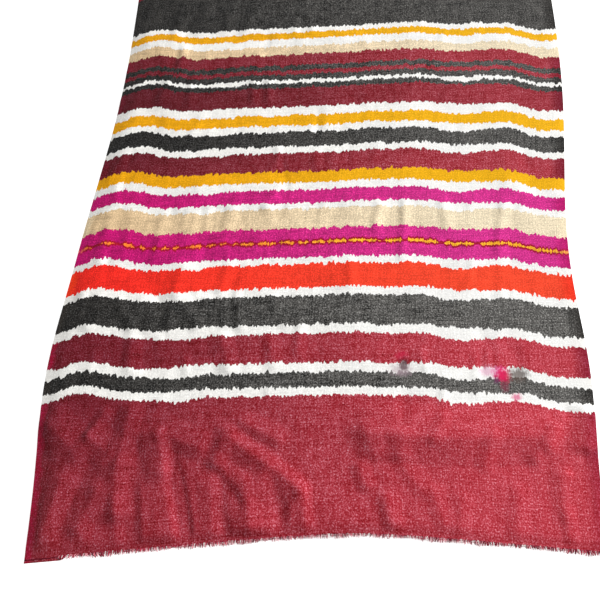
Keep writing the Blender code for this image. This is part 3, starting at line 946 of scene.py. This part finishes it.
# Relief of the weave, its yarns going over and under, with the nap's unevenness. Heights
# are in millimetres
WEAVE_RISE, GRAIN_RISE, SLUB_RISE, PICK_RISE, CRINKLE_RISE = 0.020, 0.14, 0.08, 0.08, 0.50
CRINKLE_SIZE = (0.0100, 0.0170, 1.0)
over = calc(tree, "SINE", times(tree, across, math.pi / YARN_PITCH))
under = calc(tree, "SINE", times(tree, along, math.pi / YARN_PITCH))
crinkle = mottle(tree, yarns, CRINKLE_SIZE, 2.0, (0.0, 0.0, 15.0))
relief = times(tree, over, under, WEAVE_RISE)
relief = calc(tree, "MULTIPLY_ADD", grain, GRAIN_RISE, relief)
relief = calc(tree, "MULTIPLY_ADD", slubs, SLUB_RISE, relief)
relief = calc(tree, "MULTIPLY_ADD", picks, PICK_RISE, relief)
relief = calc(tree, "MULTIPLY_ADD", crinkle, times(tree, calm, CRINKLE_RISE), relief)
bump = add(tree, "Bump", {"Strength": 1.0, "Distance": 0.001, "Height": relief})
tree.links.new(bump.outputs[0], shader.inputs["Normal"])

cloth.data.materials.append(material)
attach(cloth, "root")
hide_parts("shawl_panel")


# The frayed ends
# At each hem the weft stops and the warp's own ends stand out of it as a fringe of a few
# millimetres. The last picks have worked loose, and at one near corner the edge is whole.

THREADS, THREAD_SIDES, THREAD_RADIUS = 640, 4, 0.00042
RINGS, TAPER = (-0.20, 0.15, 0.45, 0.75, 1.0), (1.0, 1.0, 1.0, 0.9, 0.55)
REACH, REACH_WAVE, REACH_SPREAD, SHORTEST, LONGEST = 0.0029, 0.0004, 0.0006, 0.0014, 0.0050
LEAN_WAVE, LEAN_SPREAD, PLACE_SPREAD = 0.0010, 0.0005, 0.00016
THREAD_HEIGHT, THREAD_RISE = 0.0005, (0.0003, 0.0010)
IN_BUNDLES = 0.45
PICK_COUNT, PICK_POINTS, PICK_RADIUS, PICK_TINTS = 2, 240, 0.00025, (0.10, 0.30)
PICK_FIRST, PICK_PITCH, PICK_HEIGHT = 0.0004, 0.0008, 0.0006


def tubes(path, radius):
    """Closed tubes round paths: (tube, ring, 3) points to (points, quads and caps).

    Each ring is a circle of THREAD_SIDES points square to the way that its path runs.
    """
    count, rings = path.shape[:2]
    way = np.gradient(path, axis=1)
    way /= np.linalg.norm(way, axis=2, keepdims=True)
    side = np.cross(way, (0.0, 0.0, 1.0))
    side /= np.linalg.norm(side, axis=2, keepdims=True)
    up = np.cross(side, way)
    turn = 2.0 * math.pi * (np.arange(THREAD_SIDES) + 0.5) / THREAD_SIDES
    ring = (np.cos(turn)[:, None] * side[:, :, None, :] + np.sin(turn)[:, None] * up[:, :, None, :])
    points = path[:, :, None, :] + radius[:, :, None, None] * ring
    number = np.arange(count * rings * THREAD_SIDES).reshape(count, rings, THREAD_SIDES)
    after = np.roll(number, -1, 2)
    walls = np.stack((number[:, :-1], after[:, :-1], after[:, 1:], number[:, 1:]), -1)
    caps = np.concatenate((number[:, 0, ::-1], number[:, -1, :]))
    return points.reshape(-1, 3), np.concatenate((walls.reshape(-1, 4), caps))


def make_fringe(name, outward, plain, seed):
    """The loose picks along one hem and the warp ends that stand out of them.

    A warp end leans more and more as it runs out and arches as half a sine, and how far it
    reaches and leans goes up and down along the hem in waves. A pick sways along the hem.
    """
    draw = np.random.default_rng(seed)
    hem_y = NEAR_END if outward < 0 else FAR_END
    slope = NEAR_DROP if outward < 0 else FAR_DROP
    left, right = middle_of(hem_y) - half_of(hem_y), middle_of(hem_y) + half_of(hem_y)

    def hem(x):
        return hem_y + outward * hem_drop(x, slope)

    spread = np.linspace(left + plain, right - 0.001, THREADS)
    x = spread + draw.normal(0.0, PLACE_SPREAD, THREADS)
    ring = np.array(RINGS)
    beyond = np.clip(ring, 0.0, 1.0)
    waves = np.sin(x / 0.0071) + np.sin(x / 0.0173 + 1.0)
    reach = REACH + REACH_WAVE * waves + draw.normal(0.0, REACH_SPREAD, THREADS)
    reach = np.clip(reach, SHORTEST, LONGEST)
    lean = LEAN_WAVE * np.sin(x / 0.0093) + draw.normal(0.0, LEAN_SPREAD, THREADS)
    path = np.zeros((THREADS, len(ring), 3))
    path[..., 0] = x[:, None] + lean[:, None] * beyond ** 1.5
    path[..., 1] = hem(x)[:, None] + outward * (ring[None, :] * reach[:, None])
    rise = draw.uniform(*THREAD_RISE, THREADS)
    path[..., 2] = THREAD_HEIGHT + rise[:, None] * np.sin(math.pi * beyond)
    points, quads = tubes(path, THREAD_RADIUS * np.tile(TAPER, (THREADS, 1)))

    along = np.linspace(left + 0.0004, right - 0.0004, PICK_POINTS)
    lines = np.arange(PICK_COUNT)[:, None]
    pick = np.zeros((PICK_COUNT, PICK_POINTS, 3))
    pick[..., 0] = along
    drift = 0.00018 * np.sin(along / 0.0031 + 2.0 * lines)
    drift = drift + 0.00022 * np.sin(along / 0.0119 + lines)
    pick[..., 1] = hem(along) + outward * (PICK_FIRST + PICK_PITCH * lines + drift)
    pick[..., 2] = PICK_HEIGHT + 0.00012 * np.sin(along / 0.0012 + 3.0 * lines)
    more, more_quads = tubes(pick, np.full((PICK_COUNT, PICK_POINTS), PICK_RADIUS))

    mesh = bpy.data.meshes.new(name)
    faces = np.concatenate((quads, more_quads + len(points)))
    mesh.from_pydata(np.concatenate((points, more)), [], faces)
    mesh.shade_smooth()
    run = np.repeat(draw.random(THREADS // 2 + 1), 2)[:THREADS]
    tint = np.where(draw.random(THREADS) < IN_BUNDLES, run, draw.random(THREADS))
    tint = np.repeat(tint, len(ring) * THREAD_SIDES)
    pick_tint = np.repeat(np.linspace(*PICK_TINTS, PICK_COUNT), PICK_POINTS * THREAD_SIDES)
    store(mesh, "tint", "FLOAT", np.concatenate((tint, pick_tint)))
    rootward = np.tile(np.repeat(ring, THREAD_SIDES), THREADS)
    store(mesh, "out", "FLOAT", np.concatenate((rootward, np.zeros(len(more)))))
    fringe = bpy.data.objects.new(name, mesh)
    bpy.context.scene.collection.objects.link(fringe)
    return fringe


THREAD_COLOURS = (
    # share of the threads from here, colour
    (0.00, (140, 28, 50)),
    (0.34, (184, 62, 82)),
    (0.62, (218, 142, 152)),
    (0.80, (238, 222, 220)),
    (0.90, (130, 44, 62)),
)
FRAYED = {"Roughness": 0.9, "Specular IOR Level": 0.15}
FLECK_SIZE, FLECK_SHADE = (0.0009, 0.0009, 0.0009), (0.3, 0.7, 0.7, 1.2)
ROOT_SHADE = (0.0, 0.5, 0.75, 1.05)


def thread_material(name):
    """Frayed wool: every thread its own colour, with painted shade darker at the root."""
    material, tree, shader = new_material(name, FRAYED)
    tint = add(tree, "Attribute", attribute_name="tint").outputs[2]
    out = add(tree, "Attribute", attribute_name="out").outputs[2]
    stops = [(place, dye(shade)) for place, shade in THREAD_COLOURS]
    colour = ramp(tree, tint, stops).outputs[0]
    flecks = mottle(tree, add(tree, "TexCoord").outputs[3], FLECK_SIZE, 1.0)
    # Painted shade towards the root, where the threads leave the weave
    shade = times(tree, remap(tree, flecks, *FLECK_SHADE), remap(tree, out, *ROOT_SHADE))
    toned = add(tree, "VectorMath", {0: colour, "Scale": shade}, operation="SCALE").outputs[0]
    tree.links.new(toned, shader.inputs["Base Color"])
    twist = times(tree, flecks, 0.2)
    bump = add(tree, "Bump", {"Strength": 0.6, "Distance": 0.0003, "Height": twist})
    tree.links.new(bump.outputs[0], shader.inputs["Normal"])
    return material


near_fringe = make_fringe("near_frayed_end", -1.0, PLAIN_CORNER, 11)
near_fringe.data.materials.append(thread_material("near_threads"))
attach(near_fringe, "root")
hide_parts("near_fringe")

far_fringe = make_fringe("far_frayed_end", 1.0, 0.0, 23)
far_fringe.data.materials.append(thread_material("far_threads"))
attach(far_fringe, "root")
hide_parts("far_fringe")


# The floor, light and camera
# A white floor that shows no edge, one soft lamp low on the upper right that rakes the
# folds, and an even white room. The camera stands over the near end, looking down.

FLOOR_HALF, FLOOR_Z = 6.0, -0.0003
WHITE_LIGHT = (1.0, 1.0, 1.0, 1.0)
PALE = {
    "Base Color": (0.86, 0.86, 0.86, 1.0),
    "Roughness": 0.9,
    "Specular IOR Level": 0.1,
    "Emission Color": WHITE_LIGHT,
    "Emission Strength": 0.75,
}
floor_mesh = bpy.data.meshes.new("floor")
corner = FLOOR_HALF * np.array(((-1, -1, 0), (1, -1, 0), (1, 1, 0), (-1, 1, 0)))
floor_mesh.from_pydata(corner + (0.0, 0.0, FLOOR_Z), [], [(0, 1, 2, 3)])
floor = bpy.data.objects.new("floor", floor_mesh)
bpy.context.scene.collection.objects.link(floor)
floor_mesh.materials.append(new_material("pale_floor", PALE)[0])
floor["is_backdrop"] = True

SUN_HEADING, SUN_ELEVATION = math.atan2(0.45, 0.75), math.radians(24.0)
SUN_STRENGTH, SUN_ANGLE = 5.8, math.radians(8.0)
ROOM_STRENGTH = 0.34
sun = bpy.data.lights.new("soft_lamp", "SUN")
sun.energy = SUN_STRENGTH
sun.angle = SUN_ANGLE
lamp = bpy.data.objects.new("soft_lamp", sun)
lamp.rotation_euler = (0.0, math.pi / 2.0 - SUN_ELEVATION, SUN_HEADING)
bpy.context.scene.collection.objects.link(lamp)

room = bpy.data.worlds.new("room")
room.use_nodes = True
background = room.node_tree.nodes["Background"]
background.inputs["Color"].default_value = WHITE_LIGHT
background.inputs["Strength"].default_value = ROOM_STRENGTH
bpy.context.scene.world = room
bpy.context.scene.view_settings.view_transform = "Standard"

CAMERA_AT = (0.0180, -0.9148, 0.6279)
HEADING = math.radians(10.2553)
DOWNWARD = math.radians(68.222)
ROLL = math.radians(10.869)
LENS_MM, SENSOR_MM = 37.58, 36.0
right =np.array((math.cos(HEADING), math.sin(HEADING), 0.0))
level = np.array((-math.sin(HEADING), math.cos(HEADING), 0.0))
plumb = np.array((0.0, 0.0, 1.0))
forward = math.cos(DOWNWARD) * level - math.sin(DOWNWARD) * plumb
downward = -math.sin(DOWNWARD) * level - math.cos(DOWNWARD) * plumb
x_axis = math.cos(ROLL) * right + math.sin(ROLL) * downward
y_axis = math.sin(ROLL) * right - math.cos(ROLL) * downward
lens = bpy.data.cameras.new("camera")
lens.lens = LENS_MM
lens.sensor_width = SENSOR_MM
lens.sensor_fit = "HORIZONTAL"
lens.clip_start = 0.01
camera = bpy.data.objects.new("camera", lens)
pose = np.eye(4)
pose[:3, 0] = x_axis
pose[:3, 1] = y_axis
pose[:3, 2] = -forward
pose[:3, 3] = CAMERA_AT
camera.matrix_world = Matrix(pose.tolist())
bpy.context.scene.collection.objects.link(camera)
bpy.context.scene.camera = camera

low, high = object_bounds()
